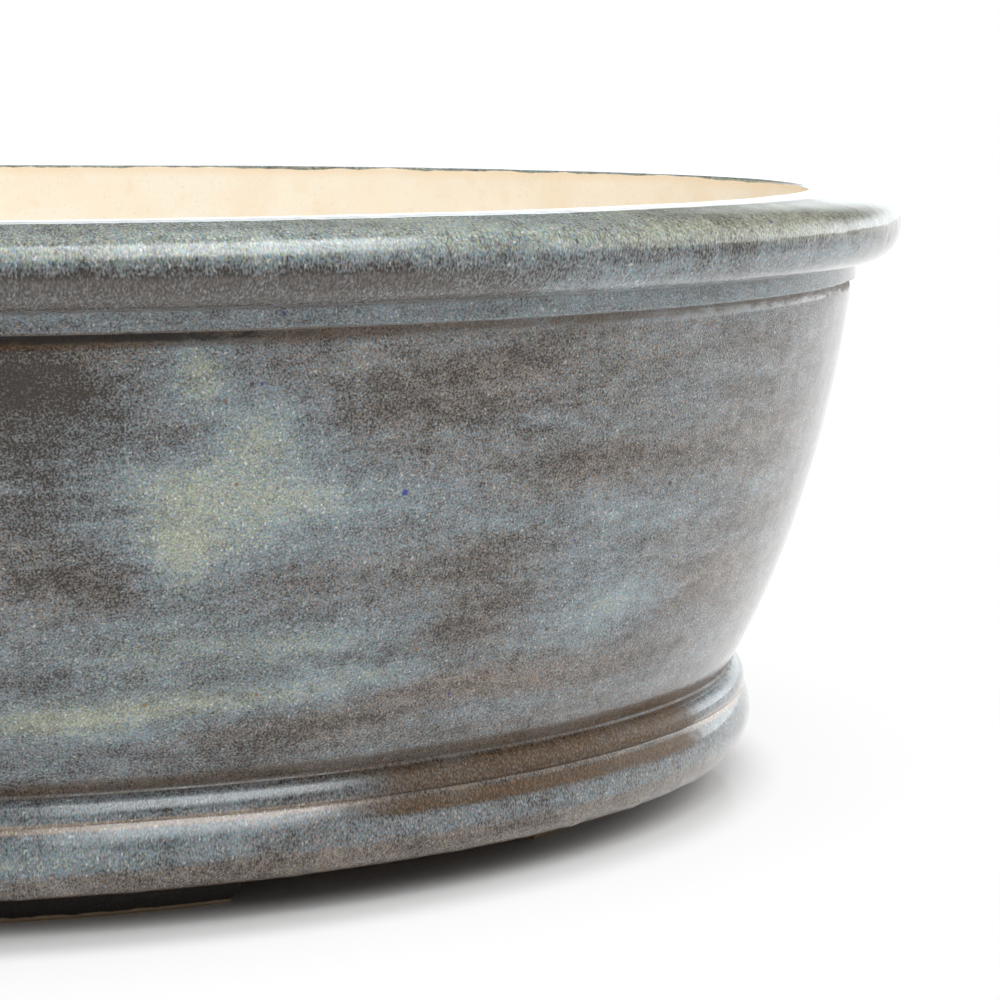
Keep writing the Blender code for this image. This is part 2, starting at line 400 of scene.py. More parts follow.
# The dots have a shift, cells to the metre and a radius, the marks an angle, setback, height and radius
IRON_DOTS = ((0.31, 0.12, 0.05), 150, 0.00035)
PIT_DOTS = ((0.11, 0.42, 0.25), 150, 0.00038)
COBALT_DOTS = ((0.21, 0.22, 0.15), 120, 0.0003)
IRON_MARKS = (
    (-40.1, 0.01177, 0.0514, 0.0004),
    (-37.2, 0.01188, 0.051, 0.0004),
    (-20, 0.0077, 0.0719, 0.0009),
)
PIT_MARKS = (
    (-28.8, 0.00756, 0.0729, 0.0005),
    (-62.3, 0.00738, 0.0742, 0.00035),
    (-53.5, 0.00742, 0.0739, 0.00035),
    (-57, 0.00907, 0.0636, 0.0004),
    (-48.2, 0.01021, 0.058, 0.0004),
    (-40.5, 0.01139, 0.0529, 0.0005),
)
COBALT_MARKS = (
    (-60.5, 0.01075, 0.0556, 0.0006),
    (-48.2, 0.013, 0.0469, 0.00028),
    (-43.7, 0.0188, 0.0303, 0.00028),
)

# How the glaze lies on the roll. A change has the heights where it starts and is complete, and its
# strength. A cloud has its angle and height, its half sizes, and how much paler and greener it is.
# The dark bare edge at the roll's foot is partly painted shade under the belt, the paler tan crease
# is partly a painted highlight, and the last cloud is a painted highlight on the roll's crown.
ROLL_PALE = 0.46
ROLL_GREEN = -0.05
ROLL_DARK_FOOT = (0.0092, 0.007, -0.12)
ROLL_BLUE_FOOT = (0.0092, 0.0074, -1.1)
ROLL_CALM_FOOT = (0.0075, 0.0055, 0.3)
# Painted shade in part: the roll's lower edge made dark brown
ROLL_BARE_EDGE_AND_SHADE = (0.0052, 0.0045, 1.2)
ROLL_BROWN_TOP = (0.0108, 0.0122)
ROLL_CREASE = (0.0133, 0.0138)
ROLL_BROWN_PALER = -0.4
ROLL_BROWN_THINNER = 0.9
# Partly a painted highlight: the crease made a paler tan
ROLL_CREASE_TAN_AND_HIGHLIGHT = 0.4
CREASE_GREENER = -2.2
BROWN_CREASE_LESS = 0.5
BROWN_TURNS = ((293, 304), (338, 329))
ROLL_CLOUDS_AND_HIGHLIGHT = (
    ((-31, 0.009), (9, 0.006), -0.06, 0),
    ((-53, 0.0085), (9, 0.006), -0.1, 0),
    ((-80, 0.0095), (8, 0.003), 0.1, 0),
    ((-80, 0.0085), (9, 0.004), 0, 0.6),
    # A painted highlight: a paler patch on the roll's crown
    ((-67, 0.0124), (7, 0.0011), 0.22, 0),
)

speckle, given, result = new_group(
    "Speckled glaze",
    {
        "Place": "Vector", "Run": "Vector", "Pale": "Float", "Green": "Float",
        "Thin and shade": "Float", "Calm": "Float", "Streaks": "Float", "Dullness": "Float",
    },
    {"Color": "Color", "Roughness": "Float", "Coat": "Float", "Height": "Float"},
)
place = given["Place"]
fine = grain(place, FINE_TO_METRE)
tint = grain(place, TINTS_TO_METRE, detail=0, shift=(7, 3, 1))
wisps = grain(place, WISPS_TO_METRE, detail=3, roughness=0.6, stretch=(1, 1, 2.2))
drifts = grain(place, DRIFTS_TO_METRE, detail=3, roughness=0.55, stretch=(1, 1, 3.5), shift=(2, 9, 4))
bands = grain(place, BANDS_TO_METRE, detail=2, stretch=(1, 1, 6), shift=(5, 5, 8))
drips = grain(given["Run"], 1, detail=2, stretch=DRIPS_TO_METRE)

# How densely the grains lie
cover = plus(given["Pale"], centred(wisps, WISP_COVER))
cover = plus(cover, centred(drifts, DRIFT_COVER))
cover = plus(cover, centred(bands, BAND_COVER))
flowing = times(given["Streaks"], sums("SUBTRACT", 1.0, given["Calm"]))
cover = plus(cover, times(centred(drips, DRIP_COVER), flowing))
cover = sums("MINIMUM", cover, FULLEST_COVER)
contrast = ramp(given["Calm"], *GRAIN_CONTRAST)
full = plus(cover, centred(fine, contrast), clamp=True)

# The colours of the grains
hue = plus(given["Green"], centred(tint, TINT_HUE))
hue = plus(hue, centred(bands, BAND_HUE))
grains = blended(ramp(hue, *BLUE_HUES), BROWN_GRAIN, BLUE_GRAIN)
grains = blended(ramp(hue, *STRAW_HUES), grains, STRAW_GRAIN)
other = grain(place, LILACS_TO_METRE, detail=0, shift=(5, 2, 8))
grains = blended(ramp(other, *LILACS), grains, LILAC_GRAIN)
bright = grain(place, CREAMS_TO_METRE, detail=0, shift=(1, 8, 2))
grains = blended(ramp(bright, *CREAM_LEVELS), grains, CREAM_GRAIN)

# The ground between them, and the brown where the coat is thin. The same brown, deepest where
# it is thinnest, is also the painted shade that the pieces put in creases, corners and under edges
ground = blended(ramp(tint, *GROUND_MOTTLES), GROUND, MOTTLE)
ground = blended(given["Calm"], ground, CALM_BROWN)
ragged = plus(given["Thin and shade"], centred(wisps, WISP_EDGE))
ragged = plus(ragged, centred(fine, FINE_EDGE))
bare_and_shade = ramp(ragged, *BARE_LEVELS)
rusty = times(bare_and_shade, ramp(tint, *RUSTING))
deep_and_shade = ramp(ragged, *DEEP_LEVELS)
ground = blended(bare_and_shade, ground, BROWN_AND_SHADE)
ground = blended(rusty, ground, RUST)
ground = blended(deep_and_shade, ground, DEEP_BROWN_AND_SHADE)
ground = blended(1.0, ground, ramp(fine, *GROUND_SHADES), "MULTIPLY")
full = times(full, ramp(bare_and_shade, 0, 1, 1, BARE_COVER))
full = times(full, ramp(deep_and_shade, 0, 1, 1, DEEP_COVER))
colour = blended(full, ground, grains)


def dots(shift, scale, radius):
    """Rare small dots: 1 inside a dot, 0 outside. The scale is cells to the metre."""
    mapped = add(speckle, "Mapping", {"Vector": place, "Location": shift})
    cells = add(speckle, "TexVoronoi", {"Vector": mapped.outputs[0], "Scale": scale})
    return ramp(cells.outputs["Distance"], radius * scale, radius * scale * 0.5)


def marks_at(places, random_ones):
    """Adds single marks to the random ones. Each has its angle, setback, height and radius."""
    found = random_ones
    for angle, setback, height, radius in places:
        x, y = plan(math.radians(angle), setback)
        gap = add(speckle, "VectorMath", {0: place, 1: (x, y, height)}, operation="DISTANCE")
        mark = ramp(gap.outputs["Value"], radius, radius * 0.5)
        found = sums("MAXIMUM", found, mark)
    return found


iron = marks_at(IRON_MARKS, dots(*IRON_DOTS))
pits = marks_at(PIT_MARKS, dots(*PIT_DOTS))
cobalt = marks_at(COBALT_MARKS, dots(*COBALT_DOTS))
colour = blended(times(iron, IRON_SHARE), colour, RUST)
colour = blended(times(pits, PIT_SHARE), colour, GROUND)
colour = blended(times(cobalt, COBALT_SHARE), colour, COBALT)
gloss = grain(place, GLOSSES_TO_METRE, detail=2, shift=(4, 4, 9))
gloss = ramp(gloss, *GLOSS_ROUGHNESS)
dull = plus(gloss, times(bare_and_shade, BARE_ROUGHNESS))
relief = grain(place, RELIEF_TO_METRE, detail=3, roughness=0.6, shift=(9, 2, 6))
relief = plus(relief, times(fine, GRAIN_RELIEF))
feed(result, {
    "Color": colour,
    "Coat": ramp(bare_and_shade, 0, 1, 1, BARE_GLOSS),
    "Roughness": times(dull, given["Dullness"]),
    "Height": sums("SUBTRACT", relief, times(pits, PIT_RELIEF)),
})


def kept_values(tree, name):
    """Reads what a mesh keeps for each of its points."""
    return add(tree, "Attribute", attribute_name=name, attribute_type="GEOMETRY").outputs


def glazed(name, streaks, dullness, drawn_out=1.0, relief_strength=0.4):
    """The glaze as a material. The mesh says how pale, green, thin and calm it lies at each point;
    its thin brown also holds painted shade.
    Where the glaze has run, its grains are drawn out down the profile."""
    material, tree, shader = new_material(name, GLAZE_VALUES)
    run = kept_values(tree, "glaze_run")["Vector"]
    if drawn_out == 1.0:
        place = place_of(tree)
    else:
        place = add(tree, "Mapping", {"Vector": run, "Scale": (1, 1, 1 / drawn_out)}).outputs[0]
    lie = add(tree, "SeparateXYZ", {0: kept_values(tree, "glaze_coat")["Vector"]}).outputs
    inputs = {"Place": place, "Run": run, "Pale": lie["X"], "Green": lie["Y"], "Thin and shade": lie["Z"]}
    inputs["Calm"] = kept_values(tree, "glaze_calm")["Fac"]
    inputs.update(Streaks=streaks, Dullness=dullness)
    found = add(tree, "Group", inputs, node_tree=speckle).outputs
    feed(shader, {"Base Color": found["Color"], "Roughness": found["Roughness"]})
    feed(shader, {"Coat Weight": found["Coat"]})
    bump(shader, found["Height"], strength=relief_strength, distance=GLAZE_RELIEF)
    return material, tree, shader, found


def quarter(level_end, upright_end, fullness, steps):
    """A rounded quarter, level at its first end and upright at its second; 2 is an ellipse."""
    turn = np.linspace(0, math.pi / 2, steps + 1)
    across = np.sin(turn) ** (2 / fullness)
    rise = np.cos(turn) ** (2 / fullness)
    setback = level_end[0] + (upright_end[0] - level_end[0]) * across
    height = upright_end[1] + (level_end[1] - upright_end[1]) * rise
    return list(zip(setback, height))


def bow(*points, steps):
    """A smooth bend from the first point to the last, drawn towards the ones between."""
    share = np.linspace(0, 1, steps + 1)[:, None]
    lines = [np.array(point) for point in points]
    while len(lines) > 1:
        lines = [(1 - share) * first + share * second for first, second in zip(lines, lines[1:])]
    return [tuple(point) for point in lines[0]]


def dense(outline, spacing):
    """The closed outline with its long straight stretches divided."""
    points = []
    for (s0, h0), (s1, h1) in zip(outline, outline[1:] + outline[:1]):
        count = max(1, round(math.hypot(s1 - s0, h1 - h0) / spacing))
        points += [(s0 + (s1 - s0) * i / count, h0 + (h1 - h0) * i / count) for i in range(count)]
    return np.array(points)


def wander(points, period, seed):
    """Smooth noise from -1 to 1 at many points, with swells of about the given period."""
    shift = Vector((seed * 3.7, seed * 1.9, seed * 5.3))
    return np.array([noise.noise(Vector(p) / period + shift) for p in points])


def soft_spot(angle, height, centre, size):
    """1 at the centre of a soft oval spot and 0 well outside it; angles in degrees, heights in metres."""
    turn = (angle - centre[0] + 180) % 360 - 180
    return np.exp(-((turn / size[0]) ** 2) - ((height - centre[1]) / size[1]) ** 2)


def keep_values(mesh_data, name, values):
    """Keeps a number or three numbers for each point of a mesh, for its material to read."""
    values = np.asarray(values, np.float32)
    kind, field = ("FLOAT", "value") if values.ndim == 1 else ("FLOAT_VECTOR", "vector")
    mesh_data.attributes.new(name, kind, "POINT").data.foreach_set(field, values.ravel())


def oval_piece(name, outline, coat, spacing, swell=0.0003, bumps=()):
    """A closed ring of the given outline round the pot, a little uneven as hand-made clay is.
    The unevenness only takes away. The coat gives each point's pale, green, thin and calm; the
    thin also holds painted shade."""
    rows = dense(outline, spacing)
    count = len(rows)
    ahead = np.roll(rows, -1, 0)
    along = ahead - np.roll(rows, 1, 0)
    area = np.sum(rows[:, 0] * ahead[:, 1] - ahead[:, 0] * rows[:, 1])
    across = np.stack([along[:, 1], -along[:, 0]], -1) * (1 if area > 0 else -1)
    across /= np.linalg.norm(across, axis=1, keepdims=True)
    lengths = np.linalg.norm(np.diff(rows, axis=0), axis=1)
    arc = np.tile(np.concatenate([[0], np.cumsum(lengths)]), ROUND_STEPS)
    setback = np.tile(rows[:, 0], ROUND_STEPS)
    height = np.tile(rows[:, 1], ROUND_STEPS)
    turns = np.linspace(0, 2 * math.pi, ROUND_STEPS, endpoint=False)
    angle = np.repeat(np.degrees(turns), count)
    radians = np.radians(angle)
    points = np.column_stack([plan(radians, setback), height])
    swells = sum(wander(points, period, seed) * share for seed, (period, share) in enumerate(SWELLS, 1))
    move = (swells - 1) * swell / 2
    for spot, size, rise in bumps:
        move += rise * soft_spot(angle, height, spot, size)
    out = np.tile(across, (ROUND_STEPS, 1)) * move[:, None]
    points = np.column_stack([plan(radians, setback + out[:, 0]), height + out[:, 1]])
    here = np.arange(ROUND_STEPS * count).reshape(ROUND_STEPS, count)
    there = np.roll(here, -1, 0)
    corners = [here, there, np.roll(there, -1, 1), np.roll(here, -1, 1)]
    if area > 0:
        corners.reverse()
    faces = np.stack(corners, -1).reshape(-1, 4)
    mesh_data = bpy.data.meshes.new(name + "_body")
    mesh_data.from_pydata(points.tolist(), [], faces.tolist())
    pale, green, thin_and_shade, calm = [np.broadcast_to(value, len(angle)) for value in coat(angle, height)]
    keep_values(mesh_data, "glaze_run", np.column_stack([plan(radians, np.zeros(len(radians))), arc]))
    keep_values(mesh_data, "glaze_coat", np.column_stack([pale, green, thin_and_shade]))
    keep_values(mesh_data, "glaze_calm", calm)
    smooth(mesh_data)
    return mesh_data


def step(value, start, end, amount=1.0):
    """A soft step: 0 before start, the amount past end."""
    share = np.clip((value - start) / (end - start), 0, 1)
    return amount * share * share * (3 - 2 * share)


def stretch_of(turn, coming, going):
    """1 along a stretch of the pot's round and 0 outside it, with soft ends."""
    return step(turn, *coming) * step(turn, *going)


def clouded(angle, height, clouds, pale, green):
    """Adds soft clouds to how pale and green the glaze lies; on the roll one of them is a painted
    highlight.
    """
    for centre, size, paler, greener in clouds:
        share = soft_spot(angle, height, centre, size)
        pale = pale + paler * share
        green = green + greener * share
    return pale, green


def spaced(start, reach, number, count):
    """The angle of one of a row of small marks, each a little out of step."""
    return start + reach * (number + chance.uniform(-OUT_OF_STEP, OUT_OF_STEP)) / count


def brown_stretch(angle):
    """Where the belt's upper part broke to brown, at the front on the right."""
    return stretch_of(angle % 360, *BROWN_TURNS)


def roll_coat(angle, height):
    brown = brown_stretch(angle) * step(height, *ROLL_BROWN_TOP)
    crease = step(height, *ROLL_CREASE) * (1 - BROWN_CREASE_LESS * brown)
    pale = ROLL_PALE + step(height, *ROLL_DARK_FOOT)
    pale += ROLL_BROWN_PALER * brown + ROLL_CREASE_TAN_AND_HIGHLIGHT * crease
    green = ROLL_GREEN + step(height, *ROLL_BLUE_FOOT) + CREASE_GREENER * crease
    pale, green = clouded(angle, height, ROLL_CLOUDS_AND_HIGHLIGHT, pale, green)
    thin_and_shade = ROLL_BROWN_THINNER * brown * (1 - crease) + step(height, *ROLL_BARE_EDGE_AND_SHADE)
    return pale, green, thin_and_shade, step(height, *ROLL_CALM_FOOT)


chance = random.Random(11)
droplets = []
for number in range(DROPLETS_ROUND):
    turn = spaced(-180, 360, number, DROPLETS_ROUND)
    width = chance.uniform(*DROPLET_WIDTHS)
    spot = (turn, chance.uniform(*DROPLET_HEIGHTS))
    droplets.append((spot, (width, DROPLET_REACH), chance.uniform(*DROPLET_RISES)))

roll_widest = (ROLL_FACE, ROLL_WIDEST)
roll_outline = bow(CREASE, ROLL_CROWN, roll_widest, steps=18)
roll_outline += quarter((ROLL_EDGE, ROLL_BOTTOM), roll_widest, ROLL_LOWER_FULLNESS, steps=22)[-2::-1]
roll_outline += [(ROLL_INSIDE, ROLL_BOTTOM), (ROLL_INSIDE, SLAB_TOP), (ROLL_BACK, SLAB_TOP)]
roll_mesh = oval_piece("belt_roll", roll_outline, roll_coat, spacing=0.0008, bumps=droplets)
belt_glaze = glazed("Glaze on the belt", streaks=0.15, dullness=0.75, drawn_out=1.6)[0]
finish_piece("belt_lower_roll", roll_mesh, "belt_roll", belt_glaze)

# The wall
# A strip of clay bent round the slab, leaning out and slightly bulging, scraped smooth outside and
# left with faint finger marks inside. It is glazed outside only and luted down with a fillet inside.

WALL_TOP = 0.0769
WALL_BOTTOM = 0.0137
WALL_CAD_TOP = 0.0764
WALL_FACE_TOP = 0.0071
WALL_FACE_FOOT = 0.0249
WALL_FOOT_HEIGHT = 0.0176
WALL_THICKNESS = 0.007
WALL_FOOT_TAPER = 0.0018
WALL_BULGE = (0.0113, 0.0424)
WALL_COVE = [(0.0076, WALL_TOP), (0.0076, 0.0765), (0.0075, 0.076), (0.0074, 0.0756)]
COVE_BOTTOM = 0.0753
FLOOR_FILLET = 0.006
FILLET_BOTTOM = 0.014
FILLET_RISE = 0.0002
FILLET_LOOKS_UP = 0.6
LEVEL_FACE = 0.995

# How the glaze lies on the wall
WALL_PALE = 0.335
WALL_GREEN = -0.36
CLOUD_STRENGTH = 1.05
# The dark line just under the band: partly the glaze breaking brown, partly painted shade under the
# band's edge
UNDER_BAND_BROWN_AND_SHADE = ((0.0742, 0.0752, 0.76), (0.0753, 0.0759, 0.55))
UNDER_BAND_LESS = 0.5
ABOVE_BEAD = (0.0212, 0.0188)
ABOVE_BEAD_THINNER = 0.72
BROWN_THINNER = 0.2
RIGHT_FRONT_TURNS = ((283, 306), (359, 336))
STRAY_CLOUDS = 80
STRAY_TURNS = (-8, 264)
STRAY_HEIGHTS = (0.02, 0.075)
STRAY_WIDTHS = (3.5, 11)
STRAY_REACHES = (0.0025, 0.008)
STRAY_PALER = (-0.32, 0.42)
STRAY_GREENER = (-0.5, 0.5)
CLEARLY_PALER = 0.1
PALE_IS_GREENER = 2.4
WALL_CLOUDS = (
    ((-70.3, 0.0555), (5.8, 0.0085), 0.33, 1.25),
    ((-73.4, 0.054), (2, 0.006), 0.11, 0.5),
    ((-64, 0.055), (5, 0.005), 0.17, 0.5),
    ((-58, 0.053), (4, 0.0035), 0.1, 0.3),
    ((-72, 0.072), (1.6, 0.0045), 0.28, 1.4),
    ((-68.5, 0.0645), (2.6, 0.004), 0.2, 1),
    ((-72.5, 0.047), (1.8, 0.005), 0.22, 0.8),
    ((-79, 0.028), (7, 0.0028), 0.28, 1.5),
    ((-69, 0.0295), (6, 0.002), 0.2, 1.1),
    ((-64.5, 0.0365), (6, 0.004), 0.18, 0.95),
    ((-75, 0.036), (7, 0.006), 0.06, 0.9),
    ((-61, 0.031), (4, 0.002), 0.15, 0.7),
    ((-44, 0.0365), (5.5, 0.0055), 0.26, 0.9),
    ((-45, 0.0465), (5, 0.004), 0.14, 0.5),
    ((-40, 0.051), (7, 0.0025), 0.1, 0.4),
    ((-78.5, 0.058), (3.5, 0.008), -0.02, 0.5),
    ((-53, 0.0505), (4, 0.0012), 0.08, 0.4),
    ((-81.5, 0.071), (4, 0.005), -0.45, -0.4),
    ((-80, 0.064), (4, 0.009), -0.14, 0),
    ((-77, 0.068), (3, 0.005), -0.12, 0.3),
    ((-73, 0.064), (1.6, 0.002), -0.22, -0.3),
    ((-61, 0.069), (6, 0.0035), -0.12, -0.3),
    ((-62, 0.0615), (4.5, 0.0018), -0.14, -0.2),
    ((-54, 0.071), (5, 0.003), -0.05, -0.3),
    ((-77, 0.047), (3.2, 0.0045), -0.22, -0.3),
    ((-66, 0.046), (5, 0.0022), -0.16, -0.2),
    ((-54.5, 0.0445), (3.5, 0.0025), -0.12, -0.3),
    ((-54.5, 0.0375), (3, 0.0025), -0.16, -0.4),
    ((-47.5, 0.0575), (5, 0.0025), -0.12, -0.4),
    ((-56, 0.0285), (6, 0.002), -0.12, -0.6),
    ((-64, 0.025), (6, 0.0016), -0.16, -0.6),
    ((-45, 0.028), (8, 0.0022), -0.06, -0.5),
    ((-50, 0.0242), (7, 0.0013), 0.06, 0.4),
    ((-30, 0.037), (6, 0.004), 0, -0.4),
    ((-78, 0.022), (8, 0.002), 0.05, 0.6),
    ((-30, 0.057), (8, 0.003), 0, -0.3),
    ((-51, 0.063), (4, 0.0012), 0.08, 0.4),
    ((-40, 0.066), (5, 0.0015), 0.06, 0.3),
)

wall_clouds = [(spot, size, CLOUD_STRENGTH * paler, green) for spot, size, paler, green in WALL_CLOUDS]
chance = random.Random(23)
for number in range(STRAY_CLOUDS):
    turn = chance.uniform(*STRAY_TURNS)
    paler = chance.uniform(*STRAY_PALER)
    size = (chance.uniform(*STRAY_WIDTHS), chance.uniform(*STRAY_REACHES))
    greener = PALE_IS_GREENER * paler
    if paler <= CLEARLY_PALER:
        greener = chance.uniform(*STRAY_GREENER)
    spot = (turn, chance.uniform(*STRAY_HEIGHTS))
    wall_clouds.append((spot, size, CLOUD_STRENGTH * paler, greener))


def right_front(angle):
    """The right half of the front, where the dark line under the band, brown glaze and painted shade, is
    weaker.
    """
    return stretch_of(angle % 360, *RIGHT_FRONT_TURNS)


def wall_coat(angle, height):
    pale, green = clouded(angle, height, wall_clouds, WALL_PALE, WALL_GREEN)
    under_band_brown_and_shade = sum(step(height, *change) for change in UNDER_BAND_BROWN_AND_SHADE)
    above_bead = ABOVE_BEAD_THINNER + BROWN_THINNER * brown_stretch(angle)
    thin_and_shade = under_band_brown_and_shade * (1 - UNDER_BAND_LESS * right_front(angle))
    thin_and_shade += above_bead * step(height, *ABOVE_BEAD)
    return pale, green, thin_and_shade, 0


def looks_inward(face, steepest):
    inward = face.normal.dot(Vector((face.center.x, face.center.y, 0))) < 0
    return inward and abs(face.normal.z) < steepest


def inside_wall(face):
    return looks_inward(face, LEVEL_FACE) or face.normal.z > FILLET_LOOKS_UP


inside_top = (WALL_FACE_TOP + WALL_THICKNESS, WALL_CAD_TOP)
inside_foot = (WALL_FACE_FOOT + WALL_THICKNESS, FILLET_BOTTOM + FILLET_RISE + FLOOR_FILLET)
fillet_toe = (inside_foot[0] + FLOOR_FILLET, FILLET_BOTTOM)
inside_bulge = (WALL_BULGE[0] + WALL_THICKNESS, WALL_BULGE[1])
face_foot = (WALL_FACE_FOOT, WALL_FOOT_HEIGHT)
wall_face = bow((WALL_FACE_TOP, WALL_CAD_TOP), WALL_BULGE, face_foot, steps=64)
wall_outline = WALL_COVE + [point for point in wall_face if point[1] < COVE_BOTTOM]
wall_outline += [(WALL_FACE_FOOT + WALL_FOOT_TAPER, WALL_BOTTOM), (fillet_toe[0], WALL_BOTTOM)]
wall_outline += quarter(fillet_toe, inside_foot, 2, steps=10)
wall_outline += bow(inside_top, inside_bulge, inside_foot, steps=44)[-2::-1]
wall_outline += [(inside_top[0], WALL_TOP)]
wall_mesh = oval_piece("wall", wall_outline, wall_coat, spacing=0.0011)
wall_glaze = glazed("Glaze on the wall", streaks=0.15, dullness=1.0)[0]
finish_piece("pot_wall", wall_mesh, "wall", wall_glaze, clay_finish, inside_wall)

# The bead above the roll
# A thinner coil laid in the corner between wall and roll. The glaze runs off its crown and gathers
# in the creases above and below it. The dark brown line at the top of the bead is partly the glaze
# breaking thin and partly painted shade in the groove; the paler tan crease below is partly the
# glaze's warm line and partly a painted highlight.

BEAD_BACK = 0.0246
BEAD_TOP = 0.0176
BEAD_FACE = 0.0226
BEAD_WIDEST = 0.01488
BEAD_SHOULDER = 0.0006
BEAD_CROWN_END = 0.0242
BEAD_UNDERCUT = ((0.0226, 0.0144), (0.023, 0.0141))
BEAD_FILL = ((0.0247, 0.01835), (0.02495, 0.01765), (0.0243, 0.01745))
BEAD_FILL_BACK = (0.0253, 0.01835)
BEAD_FOOT = (0.0231, 0.0136)
BEAD_PALE = 0.38
BEAD_GREEN = 0.1
BEAD_CALM = 0.2
BEAD_CREASE = (0.0148, 0.0144)
# Partly a painted highlight along the crease
BEAD_CREASE_TAN_AND_HIGHLIGHT = 0.3
BEAD_BROWN_PALER = -0.28
BEAD_BROWN_THINNER = 0.82
# Partly painted shade in the groove above the bead
BEAD_TOP_BROWN_AND_SHADE = (0.0171, 0.0177)
BEAD_TOP_THINNER = 0.72
BEAD_BOTH_LESS = 0.6


def bead_coat(angle, height):
    brown = brown_stretch(angle)
    crease = step(height, *BEAD_CREASE) * (1 - brown)
    top = step(height, *BEAD_TOP_BROWN_AND_SHADE)
    pale = BEAD_PALE + BEAD_BROWN_PALER * brown + BEAD_CREASE_TAN_AND_HIGHLIGHT * crease
    thin_and_shade = BEAD_TOP_THINNER * top * (1 - BEAD_BOTH_LESS * brown)
    thin_and_shade += BEAD_BROWN_THINNER * brown * (1 - BEAD_BOTH_LESS * top)
    return pale, BEAD_GREEN + CREASE_GREENER * crease, thin_and_shade, BEAD_CALM


bead_widest = (BEAD_FACE, BEAD_WIDEST)
bead_crown = quarter((BEAD_BACK + BEAD_SHOULDER, BEAD_TOP), bead_widest, 2, steps=24)
bead_outline = bow(*BEAD_FILL, steps=8) + [point for point in bead_crown if point[0] < BEAD_CROWN_END]
bead_outline += bow(bead_widest, *BEAD_UNDERCUT, steps=10)[1:]
bead_outline += [BEAD_FOOT, (BEAD_BACK + WALL_FOOT_TAPER, BEAD_FOOT[1]), BEAD_FILL_BACK]
bead_mesh = oval_piece("belt_bead", bead_outline, bead_coat, spacing=0.0006, swell=0.00018)
finish_piece("belt_upper_bead", bead_mesh, "belt_bead", belt_glaze)

# The band under the lip
# A narrow flat fillet where the thick lip was luted to the wall, pared to an even height. The glaze
# breaks to dark brown along its lower edge and in the corner under the lip. These dark lines are
# also painted shade, at the band's step onto the wall and in the corner.

BAND_TOP = 0.0795
BAND_BOTTOM = 0.0767
BAND_FACE = 0.0066
BAND_BACK = 0.01405
BAND_EASE = 0.0005
BAND_PALE = 0.5
BAND_GREEN = 0.1
BAND_CALM = 0.1
# Dark lines at the band's edges: brown glaze and painted shade in the corners
BAND_TOP_BROWN_AND_SHADE = (0.0788, 0.0793, 0.62)
BAND_LOW_BROWN_AND_SHADE = (0.0773, 0.0769, 0.98)
BAND_LOW_LESS = 0.45
UPRIGHT_FACE = 0.5


def band_coat(angle, height):
    fading = 1 - BAND_LOW_LESS * right_front(angle)
    thin_and_shade = step(height, *BAND_TOP_BROWN_AND_SHADE) + fading * step(height, *BAND_LOW_BROWN_AND_SHADE)
    return BAND_PALE, BAND_GREEN, thin_and_shade, BAND_CALM


def inside_band(face):
    return looks_inward(face, UPRIGHT_FACE)


band_ease = (BAND_FACE + BAND_EASE, BAND_BOTTOM), (BAND_FACE, BAND_BOTTOM + BAND_EASE)
band_outline = [(BAND_BACK, BAND_BOTTOM), (BAND_BACK, BAND_TOP), (BAND_FACE, BAND_TOP)]
band_outline += quarter(*band_ease, 2, steps=6)[::-1]
band_mesh = oval_piece("rim_band", band_outline, band_coat, spacing=0.0005, swell=0.00015)
finish_piece("band_under_lip", band_mesh, "rim_band", wall_glaze, clay_finish, inside_band)

# The lip
# A heavy roll of clay with a narrow flat on top, drawn round with a wet leather. The glaze runs over
# the top and stops in an uneven line just inside, where the bare clay has taken a peach halo. The
# leather left small dips along the edge of the flat and faint ripples at the right end.

LIP_TOP = 0.09
LIP_BOTTOM = 0.0793
LIP_WIDTH = 0.014
LIP_FLAT = 0.0034
LIP_WIDEST = 0.0852
LIP_FULLNESS = 2.4
LIP_EASE = 0.0006
LIP_UNDER = 0.0066
LIP_FLAT_END = (0.008, 0.08981)
LIP_SHOULDER = ((0.0078, 0.0898), (0.0037, 0.0888), (0, 0.0886), (0, LIP_WIDEST))
RIPPLES = 20
RIPPLE_TURNS = (-38, 30)
RIPPLE_HEIGHTS = (0.0835, 0.0865)
RIPPLE_WIDTHS = (0.4, 0.9)
RIPPLE_REACHES = (0.0008, 0.0016)
RIPPLE_DEPTHS = (0.00003, 0.0001)
EDGE_DIPS = 40
DIP_TURNS = (-86, 42)
DIP_HEIGHTS = (0.0893, 0.0899)
DIP_WIDTHS = (0.2, 0.5)
DIP_REACH = 0.0006
DIP_DEPTHS = (0.00002, 0.00006)

# How the glaze lies on the lip, by the fall from its top and the angle from the middle of the front:
# green above, a teal line, and a calm brown below that ends on the right. The teal line and the
# darker brown below it are partly the glaze's colour and partly painted shade where the lip turns
# under, and the brown line at its foot is partly painted shade in the corner over the band
LIP_PALE = 0.34
LIP_GREEN = 0.1
LIP_UPPER = (0.0055, 0.0037)
UPPER_PALER = 0.22
UPPER_GREENER = 0.75
LIP_LOWER = (0.006, 0.0068)
# Partly painted shade: the lip's underside made darker
LOWER_PALER_AND_SHADE = -0.38
LOWER_CALMER = 0.95
# Partly painted shade: a brown line in the corner over the band
LIP_BARE_AND_SHADE_LINE = (0.01, 0.0106, 0.62)
TEAL_FALL = 0.0061
TEAL_REACH = 0.001
